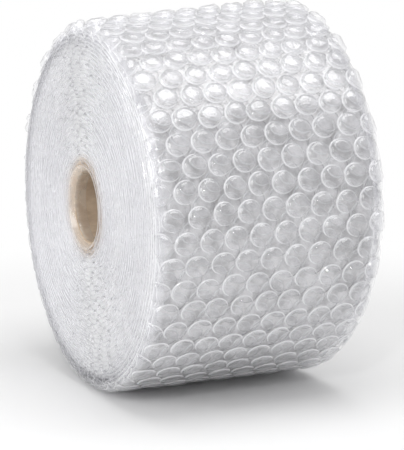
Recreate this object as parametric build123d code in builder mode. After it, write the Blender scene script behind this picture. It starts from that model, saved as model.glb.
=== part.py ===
"""Bubble wrap roll: film wound into one body on a cardboard core tube.

Millimetres. The roll lies on its side on the floor, z = 0, with its axis along X above
the origin. The loose end of the outer turn hangs down the back (+Y) side.
"""
import os

from build123d import *

os.makedirs("parts", exist_ok=True)

# ---- driving dimensions -------------------------------------------------------------
roll_diameter = 410.0      # over the bubble crests of the outer turn
web_width = 250.0          # width of the film, end face to end face
film_build = 5.0           # thickness one turn adds, flat web and bubbles
tail_angle = -38.0         # where the outer turn ends, degrees from +Y towards +Z
shoulder_radius = 12.0     # soft rounding of the outer turns at each end face
foot_half_width = 36.0     # half the width of the flat spot the roll rests on

core_bore = 76.2           # three inch core
core_wall = 4.0
core_inset = 6.0           # each end of the core sits this far inside the end face
core_edge_break = 0.6      # worn edges of the cardboard
seat_clearance = 0.0       # the first turn is wound tight onto the core
mouth_radius = 6.0         # film rounded over into the bore above the core's rim

# ---- sizes that follow --------------------------------------------------------------
outer_radius = roll_diameter / 2
core_outer_radius = core_bore / 2 + core_wall
seat_radius = core_outer_radius + seat_clearance
core_length = web_width - 2 * core_inset

# The wound outline is two half turns. The under half has its centre moved half a build
# away from the tail, so the outline falls by one full build just past the tail. The
# axis stands as high as leaves a flat of the wanted width at floor level.
tail_dir = Vector(0, 1, 0).rotate(Axis.X, tail_angle)
under_radius = outer_radius - film_build / 2
under_shift = tail_dir * (-film_build / 2)
axis_height = (under_radius**2 - foot_half_width**2) ** 0.5 - under_shift.Z
roll_centre = Vector(0, 0, axis_height)
under_centre = roll_centre + under_shift
across_roll = Plane(origin=roll_centre, x_dir=(0, 1, 0), z_dir=(1, 0, 0))


def half_turn_plane(centre, outward):
    """Plane through the winding axis: x along the roll, y outward from the centre."""
    return Plane(origin=centre, x_dir=(1, 0, 0), z_dir=Vector(1, 0, 0).cross(outward))


# ---- the wound film -----------------------------------------------------------------
with BuildPart() as bubble_wrap:
    for centre, outward, radius in (
        (roll_centre, tail_dir, outer_radius),          # over the top from the tail
        (under_centre, tail_dir * -1, under_radius),    # back underneath to it
    ):
        with BuildSketch(half_turn_plane(centre, outward)) as half_section:
            Rectangle(web_width, radius, align=(Align.CENTER, Align.MIN))
            fillet(half_section.vertices().group_by(Axis.Y)[-1], shoulder_radius)
        revolve(axis=Axis(centre, (1, 0, 0)), revolution_arc=180)

    # The flat spot under the roll's own weight: nothing is left below the floor.
    Box(
        2 * web_width, 2 * roll_diameter, roll_diameter,
        align=(Align.CENTER, Align.CENTER, Align.MAX), mode=Mode.SUBTRACT,
    )

    # Seat for the core, with the film rounded into each mouth.
    with BuildSketch(across_roll.offset(-web_width / 2)):
        Circle(seat_radius)
    extrude(amount=web_width, mode=Mode.SUBTRACT)
    mouth_edges = bubble_wrap.edges().filter_by(
        lambda e: e.geom_type == GeomType.CIRCLE and abs(e.radius - seat_radius) < 1e-4
    )
    fillet(mouth_edges, mouth_radius)
bubble_wrap.part.label = "bubble_wrap"

# ---- the cardboard core -------------------------------------------------------------
with BuildPart() as core_tube:
    with BuildSketch(across_roll.offset(-core_length / 2)):
        Circle(core_outer_radius)
        Circle(core_bore / 2, mode=Mode.SUBTRACT)
    extrude(amount=core_length)
    rims = core_tube.faces().filter_by(Axis.X).edges()
    chamfer(rims, core_edge_break)
core_tube.part.label = "core_tube"

export_step(bubble_wrap.part, "parts/bubble_wrap.step")
export_step(core_tube.part, "parts/core_tube.step")
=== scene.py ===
"""Bubble wrap roll: the looks of the wound film, its end faces and its cardboard core.

Metres, in the row frame: the winding axis runs along X, the floor is z = 0. An angle
round the roll is measured from the front (-Y), rising to 90 degrees at the top.
"""

import bpy
import numpy as np
from mathutils import Matrix, Vector


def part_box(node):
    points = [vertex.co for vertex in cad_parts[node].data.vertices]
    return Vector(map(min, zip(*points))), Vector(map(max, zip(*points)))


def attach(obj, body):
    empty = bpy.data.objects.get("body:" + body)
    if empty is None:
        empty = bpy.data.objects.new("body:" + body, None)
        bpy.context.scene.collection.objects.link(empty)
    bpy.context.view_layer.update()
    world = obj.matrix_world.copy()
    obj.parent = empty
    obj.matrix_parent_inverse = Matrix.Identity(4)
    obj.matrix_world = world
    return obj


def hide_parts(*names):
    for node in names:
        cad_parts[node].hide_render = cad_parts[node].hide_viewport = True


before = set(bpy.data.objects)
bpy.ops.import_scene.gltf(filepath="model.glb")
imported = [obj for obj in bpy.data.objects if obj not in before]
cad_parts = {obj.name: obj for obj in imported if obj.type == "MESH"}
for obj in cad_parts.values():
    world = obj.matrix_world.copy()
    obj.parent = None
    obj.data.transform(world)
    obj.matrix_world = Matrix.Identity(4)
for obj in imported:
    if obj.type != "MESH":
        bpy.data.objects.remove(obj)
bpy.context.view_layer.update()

# ---- sizes ---------------------------------------------------------------------------
wrap_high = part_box("bubble_wrap")[1]
core_low, core_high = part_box("core_tube")
half_width = wrap_high[0]                       # end face to the middle of the roll
core_outer = (core_high[2] - core_low[2]) / 2
axis_height = (core_high[2] + core_low[2]) / 2
outer_radius = wrap_high[2] - axis_height       # over the bubble crests
film_build = 0.005                              # thickness one turn adds
shoulder_long, shoulder_deep = 0.016, 0.026     # rounding at the end faces
tail_at = np.radians(218.0)                     # where the loose end hangs

bubble_height = 0.0066
bubble_radius = 0.0120
column_pitch = 0.0263
arch_pitch = 0.0262                             # bubble to bubble along a film edge
row_angle = 0.1267                              # turn between one row and the next
first_row, first_column = 0.211, -0.1187        # where the bubble grid is set from
body_depth = 0.0135                             # crests to the wound turns beneath
floor_ease = 0.003                              # how softly film meets the floor
taper = 0.045                                   # how much fuller the far end is wound
turns = (outer_radius - core_outer) / film_build


# ---- numpy helpers -------------------------------------------------------------------
def grid_faces(rows, columns, wrap_columns=False):
    """Quads of a rows by columns grid of points, numbered row by row."""
    last = columns if wrap_columns else columns - 1
    i, j = np.meshgrid(np.arange(rows - 1), np.arange(last), indexing="ij")
    k = (j + 1) % columns
    quads = np.stack([i * columns + j, i * columns + k,
                      (i + 1) * columns + k, (i + 1) * columns + j], -1)
    return quads.reshape(-1, 4)


def wave_noise(seed, u, v, cell_u, cell_v, period_u=None):
    """Smooth noise in -1..1 on (u, v): random values at lattice points, joined by cosine
    easing. period_u closes it round a turn."""
    gen = np.random.default_rng(seed)
    table = gen.uniform(-1, 1, (64, 64))
    cells = 64 if period_u is None else max(2, int(round(period_u / cell_u)))
    p = u / cell_u if period_u is None else (u / period_u) * cells
    q = v / cell_v
    i, j = np.floor(p).astype(int), np.floor(q).astype(int)
    a = (1 - np.cos(np.pi * (p - i))) / 2
    b = (1 - np.cos(np.pi * (q - j))) / 2

    def at(di, dj):
        return table[((i + di) % cells) % 64, (j + dj) % 64]

    return ((1 - a) * (1 - b) * at(0, 0) + a * (1 - b) * at(1, 0)
            + (1 - a) * b * at(0, 1) + a * b * at(1, 1))


def on_roll(x, angle, radius):
    """A point of the roll from its place along the axis, angle round it and radius. The
    far end is wound fuller: radius and the lift of its centre grow with x, so the under
    side stays level. What would be below the floor is pressed up to it: height becomes
    half the sum of itself and the root of its square plus floor_ease squared."""
    grown = radius * (1 + taper * x / (2 * half_width))
    lift = radius * taper * x / (2 * half_width)
    y = -grown * np.cos(angle)
    z = axis_height + lift + grown * np.sin(angle)
    z = 0.5 * (z + np.sqrt(z**2 + floor_ease**2))
    return np.stack([x, y, z], -1)


def web_radius(angle, depth=0.0):
    """Radius of the outer turn's crest at an angle. It falls by one build in the turn
    from the tail; depth is measured inwards from it."""
    behind = (tail_at - angle) % (2 * np.pi) / (2 * np.pi)
    return outer_radius - film_build * behind - depth


def over_shoulder(along):
    """Where the outer film lies at a length along its width from the middle: straight,
    then down a quarter ellipse at each end. Gives x, how far it has sunk, and the outward
    normal's parts along x and along the radius."""
    bend = np.linspace(0, np.pi / 2, 200)
    ex, er = shoulder_long * np.sin(bend), shoulder_deep * (1 - np.cos(bend))
    run = np.concatenate([[0], np.cumsum(np.hypot(np.diff(ex), np.diff(er)))])
    start = half_width - shoulder_long
    past = np.maximum(np.abs(along) - start, 0)
    at = np.interp(past, run, bend)
    x = np.sign(along) * (np.minimum(np.abs(along), start) + shoulder_long * np.sin(at))
    sunk = shoulder_deep * (1 - np.cos(at))
    nx, nr = np.sin(at) / shoulder_long, np.cos(at) / shoulder_deep
    size = np.hypot(nx, nr)
    return x, sunk, np.sign(along) * nx / size, nr / size


def edge_droop(under):
    """How far a turn's edge sags at the end face, from how deep the turn lies under the
    outer web: most in the outer turns, none once 32 mm in. Second, how far it is drawn
    in from the full width."""
    share = np.clip(1 - under / 0.032, 0, 1)
    return 0.0080 * share, 0.0030 * share**1.5


def make_piece(name, points, faces, material, fields=None):
    """Puts arrays of points and faces into a mesh object riding on the root body."""
    mesh = bpy.data.meshes.new(name)
    mesh.from_pydata(points.reshape(-1, 3).tolist(), [], faces)
    mesh.polygons.foreach_set("use_smooth", np.full(len(mesh.polygons), True))
    for field, values in (fields or {}).items():
        layer = mesh.attributes.new(field, "FLOAT", "POINT")
        layer.data.foreach_set("value", np.asarray(values, dtype=np.float32).ravel())
    mesh.materials.append(material)
    mesh.validate()
    mesh.update()
    piece = bpy.data.objects.new(name, mesh)
    bpy.context.scene.collection.objects.link(piece)
    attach(piece, "root")
    return piece


# ---- shader maths --------------------------------------------------------------------
class Sock:
    """A socket in a material's node tree, with arithmetic that adds Math nodes."""

    def __init__(self, tree, out):
        self.tree, self.out = tree, out

    def maths(self, operation, *values):
        return self.tree.node("ShaderNodeMath", {"operation": operation},
                              {i: v for i, v in enumerate(values)})

    def __add__(self, other):
        return self.maths("ADD", self, other)

    def __radd__(self, other):
        return self.maths("ADD", other, self)

    def __mul__(self, other):
        return self.maths("MULTIPLY", self, other)

    def __rmul__(self, other):
        return self.maths("MULTIPLY", other, self)

    def __pow__(self, other):
        return self.maths("POWER", self, other)

    def __rpow__(self, other):
        return self.maths("POWER", other, self)

    def clamp(self):
        return self.tree.node("ShaderNodeClamp", {}, {"Value": self})

    def remap(self, low, high, to_low=0.0, to_high=1.0):
        return self.tree.node("ShaderNodeMapRange", {"interpolation_type": "SMOOTHSTEP"},
                              {"Value": self, "From Min": low, "From Max": high,
                               "To Min": to_low, "To Max": to_high})


class Finish:
    """The node tree of a material or of the world, and the one method that adds nodes."""

    def __init__(self, name, world=False):
        self.owner = (bpy.data.worlds if world else bpy.data.materials).new(name)
        self.owner.use_nodes = True
        self.tree = self.owner.node_tree
        self.tree.nodes.clear()
        kind = "ShaderNodeOutputWorld" if world else "ShaderNodeOutputMaterial"
        self.exit = self.tree.nodes.new(kind)

    def node(self, kind, settings=None, inputs=None, output=0):
        """Adds a node of a type, applies its settings, then its values or links."""
        made = self.tree.nodes.new(kind)
        for key, value in (settings or {}).items():
            setattr(made, key, value)
        for key, value in (inputs or {}).items():
            socket = made.inputs[key]
            if isinstance(value, Sock):
                self.tree.links.new(value.out, socket)
            else:
                socket.default_value = value
        return Sock(self, made.outputs[output])

    def field(self, name):
        """A number stored on the piece's own points."""
        return self.node("ShaderNodeAttribute", {"attribute_name": name}, output="Fac")

    def place(self, scale=(1.0, 1.0, 1.0)):
        """Object coordinates, scaled."""
        where = self.node("ShaderNodeTexCoord", output="Object")
        return self.node("ShaderNodeMapping", {}, {"Vector": where, "Scale": scale})

    def noise(self, scale, detail=3.0, roughness=0.5, where=None):
        """Noise in 0..1 on object coordinates."""
        return self.node("ShaderNodeTexNoise", {},
                         {"Vector": where or self.place(), "Scale": scale,
                          "Detail": detail, "Roughness": roughness}, output="Fac")

    def blend(self, factor, first, second):
        """Mix of two colours, each a socket or three numbers."""
        first, second = (colour if isinstance(colour, Sock) else (*colour, 1.0)
                         for colour in (first, second))
        return self.node("ShaderNodeMix", {"data_type": "RGBA"},
                         {0: factor, 6: first, 7: second}, output=2)

    def bump(self, height, strength, distance):
        """A normal tilted by the slope of a height."""
        return self.node("ShaderNodeBump", {},
                         {"Height": height, "Strength": strength, "Distance": distance})

    def mix(self, factor, first, second):
        """Mix of two shaders."""
        return self.node("ShaderNodeMixShader", {}, {0: factor, 1: first, 2: second})

    def done(self, shader):
        """Ends the tree on a shader. Gives the material or the world."""
        self.tree.links.new(shader.out, self.exit.inputs["Surface"])
        return self.owner


def clear_film(name, milk, rim_milk_and_painted_glare, tint=(0.93, 0.93, 0.95), gloss_rough=0.09,
               wrinkle=0.35, edge=0.75, wrinkle_scale=160.0):
    """Thin clear film: mostly see-through, a little milky, with a glossy skin that
    mirrors more as it turns away. The field "rim" (0..1) whitens the film: round each
    bubble's foot, where the weld is milkier and where a painted highlight stands in for
    the glare of the wall seen edge-on, and along the film's cut edges."""
    f = Finish(name)
    rim = f.field("rim")
    creases = f.noise(wrinkle_scale, 2.0, 0.55)
    skin = f.bump(creases, wrinkle, 0.0015)
    facing = f.node("ShaderNodeLayerWeight", {}, {"Blend": 0.5, "Normal": skin},
                    output="Facing")
    mirror = (facing**4.0 * edge + 0.07).clamp()
    # haze rises with the rim: milky welds, plus painted glare at the foot of bubble walls
    haze = (f.noise(45.0, 3.0).remap(0.35, 0.7, milk * 0.6, milk * 1.5)
            + rim * rim * rim_milk_and_painted_glare).clamp()
    clear = f.node("ShaderNodeBsdfTransparent", {}, {"Color": (0.985, 0.985, 0.99, 1.0)})
    white = f.node("ShaderNodeBsdfPrincipled", {},
                   {"Base Color": (*tint, 1.0), "Roughness": 0.4, "IOR": 1.45})
    gloss = f.node("ShaderNodeBsdfGlossy", {},
                   {"Color": (1.0, 1.0, 1.0, 1.0), "Roughness": gloss_rough,
                    "Normal": skin})
    return f.done(f.mix(mirror, f.mix(haze, clear, white), gloss))


# ---- materials -----------------------------------------------------------------------
# rim whiteness below: partly the welds' own milk, partly painted glare of bubble walls
# seen edge-on
outer_film = clear_film("outer bubble film", milk=0.08, rim_milk_and_painted_glare=0.62, gloss_rough=0.07)
under_film = clear_film("film of the next turn", milk=0.14, rim_milk_and_painted_glare=0.4,
                        gloss_rough=0.16)
edge_film = clear_film("film edges at the end faces", milk=0.22, rim_milk_and_painted_glare=0.5,
                       gloss_rough=0.12, wrinkle=0.5)
tucked = clear_film("film tucked over the core", milk=0.30, rim_milk_and_painted_glare=0.5,
                    tint=(0.83, 0.73, 0.62), gloss_rough=0.2, wrinkle=0.5)


def deep_film():
    """The turns seen through the outer ones: pale grey with soft blots of bubbles on the
    outside, whiter on the end faces, where the core's tan shows through the first few
    turns."""
    f = Finish("wound film beneath")
    where = f.node("ShaderNodeTexCoord", output="Object")
    apart = f.node("ShaderNodeSeparateXYZ", {}, {0: where}, output="X")
    x_out = apart.maths("ABSOLUTE", apart)
    end = x_out.remap(half_width - 0.022, half_width - 0.006)
    flat = f.node("ShaderNodeMapping", {},
                  {"Vector": where, "Location": (0, 0, -axis_height),
                   "Scale": (0.0, 1.0, 1.0)})
    radius = f.node("ShaderNodeVectorMath", {"operation": "LENGTH"}, {0: flat},
                    output="Value")
    near_core = radius.remap(core_outer + 0.001, core_outer + 0.016, 1.0, 0.0)
    blots = f.noise(70.0, 3.0, 0.6)
    broad = f.noise(9.0, 2.0, 0.5)
    shade = (blots * 0.75 + broad * 0.25).remap(0.38, 0.62)
    side = f.blend(shade, (0.38, 0.375, 0.38), (0.78, 0.775, 0.78))
    face = f.blend(shade, (0.70, 0.70, 0.71), (0.79, 0.79, 0.80))
    face = f.blend(near_core * 0.9, face, (0.60, 0.46, 0.33))
    colour = f.blend(end, side, face)
    skin = f.bump(f.noise(120.0, 3.0), 0.5, 0.002)
    return f.done(f.node("ShaderNodeBsdfPrincipled", {},
                         {"Base Color": colour, "Roughness": 0.45, "IOR": 1.45,
                          "Coat Weight": 0.3, "Coat Roughness": 0.2, "Normal": skin}))


def core_board():
    """Kraft board: warm tan, mottled by fibres and by broader patches."""
    f = Finish("kraft core board")
    fibre = f.noise(240.0, 4.0, 0.6, where=f.place((0.35, 1.0, 1.0)))
    patches = f.noise(30.0, 2.0)
    tone = (fibre * 0.6 + patches * 0.4).remap(0.3, 0.7)
    colour = f.blend(tone, (0.46, 0.35, 0.25), (0.66, 0.54, 0.41))
    return f.done(f.node("ShaderNodeBsdfPrincipled", {},
                         {"Base Color": colour, "Roughness": 0.85,
                          "Normal": f.bump(fibre, 0.4, 0.0006)}))


wound_film = deep_film()
board = core_board()


# ---- the wound film ------------------------------------------------------------------
def wound_body():
    """The turns beneath the outer ones as one closed ring: a section (out along the seat,
    up each end face a little behind the film's edges, over the shoulders and along the
    outside) carried round the axis. The section is a list of (x, share of the way from
    the seat to the outside, drop below it)."""
    angle = np.linspace(0, 2 * np.pi, 361)[:-1] + tail_at
    bend = np.radians(np.linspace(0, 90, 7))
    inset, long, deep = 0.0045, 0.018, 0.014
    half = half_width - inset
    outline = [(-half, s, 0.0) for s in np.linspace(0, 1, 8)[:-1]]
    outline += [(-(half - long + long * np.sin(b)), 1.0, deep * (1 - np.cos(b)))
                for b in bend[::-1]]
    outline += [(a * (half - long), 1.0, 0.0) for a in np.linspace(-1, 1, 12)[1:-1]]
    outline += [(half - long + long * np.sin(b), 1.0, deep * (1 - np.cos(b)))
                for b in bend]
    outline += [(half, s, 0.0) for s in np.linspace(1, 0, 8)[1:]]
    x, share, drop = (np.array(v)[:, None] for v in zip(*outline))
    r_in = core_outer + 0.0003
    top = web_radius(angle, body_depth)[None]
    radius = r_in + share * (top - deep * (share < 1) - r_in) - drop
    points = on_roll(x + 0 * radius, angle[None] + 0 * radius, radius)
    n = len(outline)
    faces = grid_faces(n, len(angle), wrap_columns=True)
    here = np.arange(len(angle))
    nxt = (here + 1) % len(angle)
    last = (n - 1) * len(angle)
    seat = np.stack([last + here, last + nxt, nxt, here], -1)
    faces = np.concatenate([faces, seat])
    return make_piece("wound_turns", points, faces.tolist(), wound_film)


def bubble_field(name, material, web_depth, height, shift, seed):
    """One turn's bubbles. Each is a dome on (ring, spoke): rings go from the weld on the
    web, up a steep wall and over to the crown, spokes go round it. Rows run along the
    axis, alternate rows set half a pitch on. shift moves them by (length, angle). Crown
    tilt, dents and size vary, and bubbles are lower on the under side. A point's height
    is the bubble's, times its ring's share, times one plus a lean that grows across the
    crown less a dent that swings twice round it."""
    gen = np.random.default_rng(seed)
    clear = 0.35                                # rows kept clear of the loose end
    first = np.ceil((tail_at - 2 * np.pi - first_row) / row_angle + 2 * clear)
    last = np.floor((tail_at - first_row) / row_angle - clear)
    rows = np.arange(int(first), int(last) + 1)
    row, col = (v.ravel() for v in np.meshgrid(rows, np.arange(-6, 7), indexing="ij"))
    along = first_column + column_pitch * (col + 5 + 0.5 * (row % 2)) + shift[0]
    angle = first_row + row_angle * row + shift[1]
    along = along + gen.normal(0, 0.0006, along.shape)
    angle = angle + gen.normal(0, 0.0030, along.shape)
    keep = np.abs(along) < half_width - 0.0035
    along, angle = along[keep], angle[keep]
    n = len(along)
    low = np.clip(0.45 - 0.9 * np.sin(angle + 0.30), 0, 1)      # 1 on the under side
    tall = height * (1 + gen.normal(0, 0.07, n)) * (1 - 0.62 * low**1.5)
    wide = bubble_radius * (1 + gen.normal(0, 0.02, n))
    oval, turn = gen.uniform(0.0, 0.05, n), gen.uniform(0, np.pi, n)
    tilt = gen.normal(0, 0.10, (2, n))
    dents, dent_turn = gen.uniform(0.0, 0.16, n), gen.uniform(0, 2 * np.pi, n)
    out_at = np.array([1.05, 0.965, 0.90, 0.60])
    up_at = np.array([0.02, 0.12, 0.78, 0.99])
    spokes = 16
    count = len(out_at) * spokes
    s = np.linspace(0, 2 * np.pi, spokes + 1)[:-1][None, None, :]
    rho, up = out_at[None, :, None], up_at[None, :, None]
    each = (slice(None), None, None)
    flat = 1 + oval[each] * np.cos(2 * (s - turn[each]))
    du, dv = (wide[each] * rho * flat * f(s) for f in (np.cos, np.sin))
    lean = 1 + up * (tilt[0][each] * rho * np.cos(s) + tilt[1][each] * rho * np.sin(s)
                     - dents[each] * np.cos(2 * s + dent_turn[each]) * (rho < 0.93))
    w = np.concatenate([(along[each] + du).reshape(n, count), along[:, None]], 1)
    an = np.concatenate([(angle[each] + dv / outer_radius).reshape(n, count),
                         angle[:, None]], 1)
    h = np.concatenate([(tall[each] * up * lean).reshape(n, count),
                        (tall * (1.03 - 0.7 * dents))[:, None]], 1)
    h = h * np.clip((half_width + 0.0015 - np.abs(w)) / 0.005, 0, 1)   # cut at the edge
    x, sunk, nx, nr = over_shoulder(np.clip(w, -half_width, half_width))
    base = web_radius(angle, web_depth)[:, None] - sunk
    points = on_roll(x + h * nx, an, base + h * nr)
    j = np.arange(spokes)
    k = (j + 1) % spokes
    side = np.concatenate([np.stack([i + j, i + k, i + spokes + k, i + spokes + j], -1)
                           for i in np.arange(len(out_at) - 1) * spokes])
    cap = np.stack([count - spokes + j, count - spokes + k, np.full(spokes, count)], -1)
    hop = (np.arange(n) * (count + 1))[each]
    faces = (side[None] + hop).reshape(-1, 4).tolist()
    faces += (cap[None] + hop).reshape(-1, 3).tolist()
    # weld ring and foot of the wall whitest: the weld's milk plus a painted highlight for
    # the wall seen edge-on; a little more haze on the under side
    rim = np.concatenate([np.repeat([0.9, 1.0, 0.0, 0.0], spokes), [0.0]])
    milk = rim + 0.12 * low[:, None]
    return make_piece(name, points, faces, material, fields={"rim": milk})


def web_sheet(name, material, depth):
    """One turn's flat web: a grid of angle by length across its width, following the
    shoulders, a little slack between rows."""
    angle = np.linspace(tail_at - 2 * np.pi + 0.004, tail_at - 0.001, 420)[:, None]
    ends = np.linspace(half_width - shoulder_long, half_width, 9)
    along = np.concatenate([-ends[::-1], np.linspace(-ends[0], ends[0], 44)[1:-1],
                            ends])[None]
    slack = 0.0005 * wave_noise(31, angle * outer_radius, along, 0.03, 0.03)
    x, sunk, nx, nr = over_shoulder(along)
    points = on_roll(x + 0 * slack, angle + 0 * x,
                     web_radius(angle, depth) - sunk + slack)
    rim = np.clip((np.abs(along) - (half_width - 0.002)) / 0.002, 0, 1) * 0.6 + 0 * angle
    faces = grid_faces(points.shape[0], points.shape[1])
    return make_piece(name, points, faces.tolist(), material, fields={"rim": rim})


# ---- the end faces -------------------------------------------------------------------
def winding(step, from_turn=0.0):
    """Places along the whole spiral from the core outwards: angle, radius and length."""
    mean = (outer_radius + core_outer) / 2
    count = int(turns * 2 * np.pi * mean / step)
    r0, r1 = core_outer + 0.0004, outer_radius - bubble_height
    # equal steps of length: radius squared grows evenly
    share = np.linspace(0, 1, count)
    radius = np.sqrt(r0**2 + share * (r1**2 - r0**2))
    angle = tail_at + 2 * np.pi * (radius - r1) / film_build
    length = share * np.pi * (r1**2 - r0**2) / film_build
    return angle, radius, length


def end_setting(angle, radius, seed):
    """How far a turn's edge stands out of the mean end face. Turns wander together in
    broad bands and singly by a little."""
    turn = (radius - core_outer) / film_build
    broad = wave_noise(seed, (angle % (2 * np.pi)), turn, 1.3, 5.0, 2 * np.pi)
    single = wave_noise(seed + 1, (angle % (2 * np.pi)), turn, 0.5, 1.0, 2 * np.pi)
    return 0.0011 * broad + 0.0011 * single


def edge_ribbon(name, side, step, seed, arched):
    """Film edges showing in an end face: a strip along the spiral, seen on its edge, 7 mm
    deep. The flat web gives plain lines. The bubble film gives arches, once a bubble,
    that leave the web and meet the turn outside it: the height of an arch is the root of
    one less the cube of the distance from its middle."""
    angle, radius, length = winding(step)
    out = end_setting(angle, radius, seed)
    droop, drawn = edge_droop(outer_radius - bubble_height - radius)
    depths = np.array([0.0, 0.0013, 0.0035, 0.0070])[None]
    still = 0 * length
    if arched:
        phase = length / arch_pitch + 0.35 * wave_noise(seed + 5, length, still, 0.3, 1.0)
        reach = 0.46 + 0.04 * wave_noise(seed + 6, length, still, 0.026, 1.0)
        t = np.clip(np.abs(phase % 1.0 - 0.5) / reach, 0, 1)
        arch = np.sqrt(np.maximum(1 - t**3.0, 0))
        wobble = 1 + 0.10 * wave_noise(seed + 7, length, still, 0.006, 1.0)
        lift = (film_build * 0.93) * arch * wobble
        out = out - 0.0006 - 0.0012 * np.abs(wave_noise(seed + 8, length, still,
                                                        0.013, 1.0))
    else:
        lift = 0.0004 * wave_noise(seed + 7, length, still, 0.012, 1.0)
    sag = droop[:, None] * (1 - depths / shoulder_long) ** 2
    radius = radius[:, None] - sag + lift[:, None] * (1 - 0.25 * depths / depths.max())
    x = side * ((half_width - 0.0002 - drawn + np.minimum(out, 0.0012))[:, None] - depths)
    points = on_roll(x, angle[:, None] + 0 * x, radius)
    rim = np.array([1.0, 0.30, 0.05, 0.0])[None] + 0 * x
    faces = grid_faces(points.shape[0], points.shape[1])
    if side > 0:
        faces = faces[:, ::-1]
    return make_piece(name, points, faces.tolist(), edge_film, fields={"rim": rim})


def tucked_film(side):
    """The first turn's spare edge, laid over the core's rim and tucked into its bore: a
    profile from the end face round the rim and in, carried round the axis, its inner
    edge uneven and its sides a little rumpled."""
    angle = np.linspace(0, 2 * np.pi, 121)[:-1][:, None]
    t = np.linspace(0, 1, 12)[None]
    depth_in = 0.0105 + 0.0030 * wave_noise(81 + side, angle, 0 * angle, 0.9, 1.0,
                                            2 * np.pi)
    inset = np.interp(t, [0, 0.15, 0.35, 0.5, 1.0], [0.0006, 0.0008, 0.0040, 0.0066, 0])
    inset = np.where(t > 0.5, 0.0066 + (t - 0.5) / 0.5 * depth_in, inset + 0 * angle)
    radius = np.interp(t, [0, 0.15, 0.35, 0.5, 0.6, 1.0],
                       [0.0455, 0.0436, 0.0414, 0.0384, 0.0376, 0.0374])
    rumple = wave_noise(83, angle, t, 0.22, 0.3, 2 * np.pi)
    radius = radius + 0.0005 * rumple * np.sin(np.pi * np.clip(t, 0, 0.9))
    x = side * (half_width - inset)
    points = on_roll(x, angle + 0 * x, radius)
    rim = 0.0 + 0.5 * (t > 0.95) + 0.2 * (t < 0.05) + 0 * angle
    faces = grid_faces(points.shape[1], points.shape[0], wrap_columns=True)
    if side < 0:
        faces = faces[:, ::-1]
    return make_piece(f"tucked_film_{'left' if side < 0 else 'right'}",
                      points.transpose(1, 0, 2), faces.tolist(), tucked,
                      fields={"rim": rim.T})


# ---- build ---------------------------------------------------------------------------
made = [
    wound_body(),
    bubble_field("outer_bubbles", outer_film, bubble_height, bubble_height, (0, 0), 11),
    bubble_field("next_bubbles", under_film, 0.0130, 0.0054, (0.009, 0.05), 12),
    web_sheet("outer_web", outer_film, bubble_height),
]
for side, end in ((-1, "left"), (1, "right")):
    made.append(edge_ribbon(f"web_edges_{end}", side, 0.0045, 40 + side, False))
    made.append(edge_ribbon(f"bubble_edges_{end}", side, 0.0031, 60 + side, True))
    made.append(tucked_film(side))

for piece in made:
    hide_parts("bubble_wrap")

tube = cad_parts["core_tube"]
tube.data.materials.clear()
tube.data.materials.append(board)


# ---- floor, light and camera ---------------------------------------------------------
def ray(tree, kind):
    """1 for light paths of a kind, else 0."""
    return tree.node("ShaderNodeLightPath", output=f"Is {kind} Ray")


def floor_finish():
    """Plain white floor. Away from the object it fades into the white surround, for the
    camera and in reflections; near it the light and shadow fall on plain white."""
    f = Finish("floor")
    where = f.place()
    apart = f.node("ShaderNodeVectorMath", {"operation": "LENGTH"}, {0: where},
                   output="Value")
    far = apart.remap(0.30, 0.85)
    seen = (ray(f, "Camera") + ray(f, "Glossy") + ray(f, "Transmission")).clamp()
    plain = f.node("ShaderNodeBsdfDiffuse", {}, {"Color": (0.86, 0.86, 0.86, 1.0)})
    glow = f.node("ShaderNodeEmission", {}, {"Color": (1, 1, 1, 1), "Strength": 1.0})
    return f.done(f.mix(far * seen, plain, glow))


def add_floor():
    """A square 12 m across, 0.2 mm under the object."""
    edge, below = 6.0, -0.0002
    corners = [(-edge, -edge, below), (edge, -edge, below), (edge, edge, below),
               (-edge, edge, below)]
    mesh = bpy.data.meshes.new("floor")
    mesh.from_pydata(corners, [], [(0, 1, 2, 3)])
    mesh.materials.append(floor_finish())
    floor = bpy.data.objects.new("floor", mesh)
    bpy.context.scene.collection.objects.link(floor)


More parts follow.
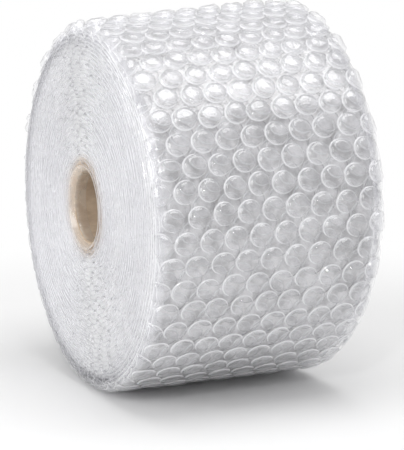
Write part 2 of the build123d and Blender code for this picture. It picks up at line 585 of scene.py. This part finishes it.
def softbox(name, place, aim, width, depth, power):
    """A rectangular lamp at a place, facing an aim point."""
    lamp = bpy.data.lights.new(name, "AREA")
    lamp.shape = "RECTANGLE"
    lamp.size, lamp.size_y, lamp.energy = width, depth, power
    holder = bpy.data.objects.new(name, lamp)
    bpy.context.scene.collection.objects.link(holder)
    way = np.array(aim) - np.array(place)
    holder.location = place
    holder.rotation_euler = look_along(way)


def look_along(way, roll=0.0):
    """Euler turn that points an object's -Z along a way, its Y up."""
    turn = Vector(way).to_track_quat("-Z", "Y").to_matrix()
    return (turn @ Matrix.Rotation(roll, 3, "Z")).to_euler()


def add_camera():
    """A long lens from the front left, a little above the roll's axis."""
    swing, rise, roll = 0.4275, 0.1552, -0.0079
    apart = 9.353 * outer_radius
    lens = bpy.data.cameras.new("camera")
    lens.sensor_fit = "VERTICAL"
    lens.sensor_height = 24.0
    lens.lens = 95.08
    lens.shift_x = 0.0247
    lens.shift_y = -0.0598
    lens.clip_end = 50
    holder = bpy.data.objects.new("camera", lens)
    way = np.array([np.sin(swing) * np.cos(rise), np.cos(swing) * np.cos(rise),
                    -np.sin(rise)])
    holder.location = np.array([0, 0, axis_height]) - way * apart
    holder.rotation_euler = look_along(way, roll)
    bpy.context.scene.collection.objects.link(holder)
    bpy.context.scene.camera = holder


def add_world():
    """White surround for the camera and for light let through, a dimmer one for the
    light that falls on things and for what gloss mirrors."""
    f = Finish("surround", world=True)
    seen = (ray(f, "Camera") + ray(f, "Transmission")).clamp()
    level = f.node("ShaderNodeMapRange", {}, {"Value": seen, "To Min": 0.65,
                                              "To Max": 1.0})
    bpy.context.scene.world = f.done(
        f.node("ShaderNodeBackground", {}, {"Color": (1, 1, 1, 1), "Strength": level}))


add_floor()
add_world()
add_camera()
middle = (0.0, 0.0, axis_height)
# a broad lamp above, a weaker one on the left end face, a small one for glints
softbox("key", (0.1, -0.35, 1.85), middle, width=1.3, depth=1.3, power=15.5)
softbox("left", (-1.7, -0.3, 0.8), middle, width=1.0, depth=1.0, power=10.0)
softbox("spark", (-0.9, -1.6, 1.2), middle, width=0.07, depth=0.07, power=4.5)
scene = bpy.context.scene
scene.view_settings.view_transform = "Standard"
scene.cycles.transparent_max_bounces = 32       # sight passes many films
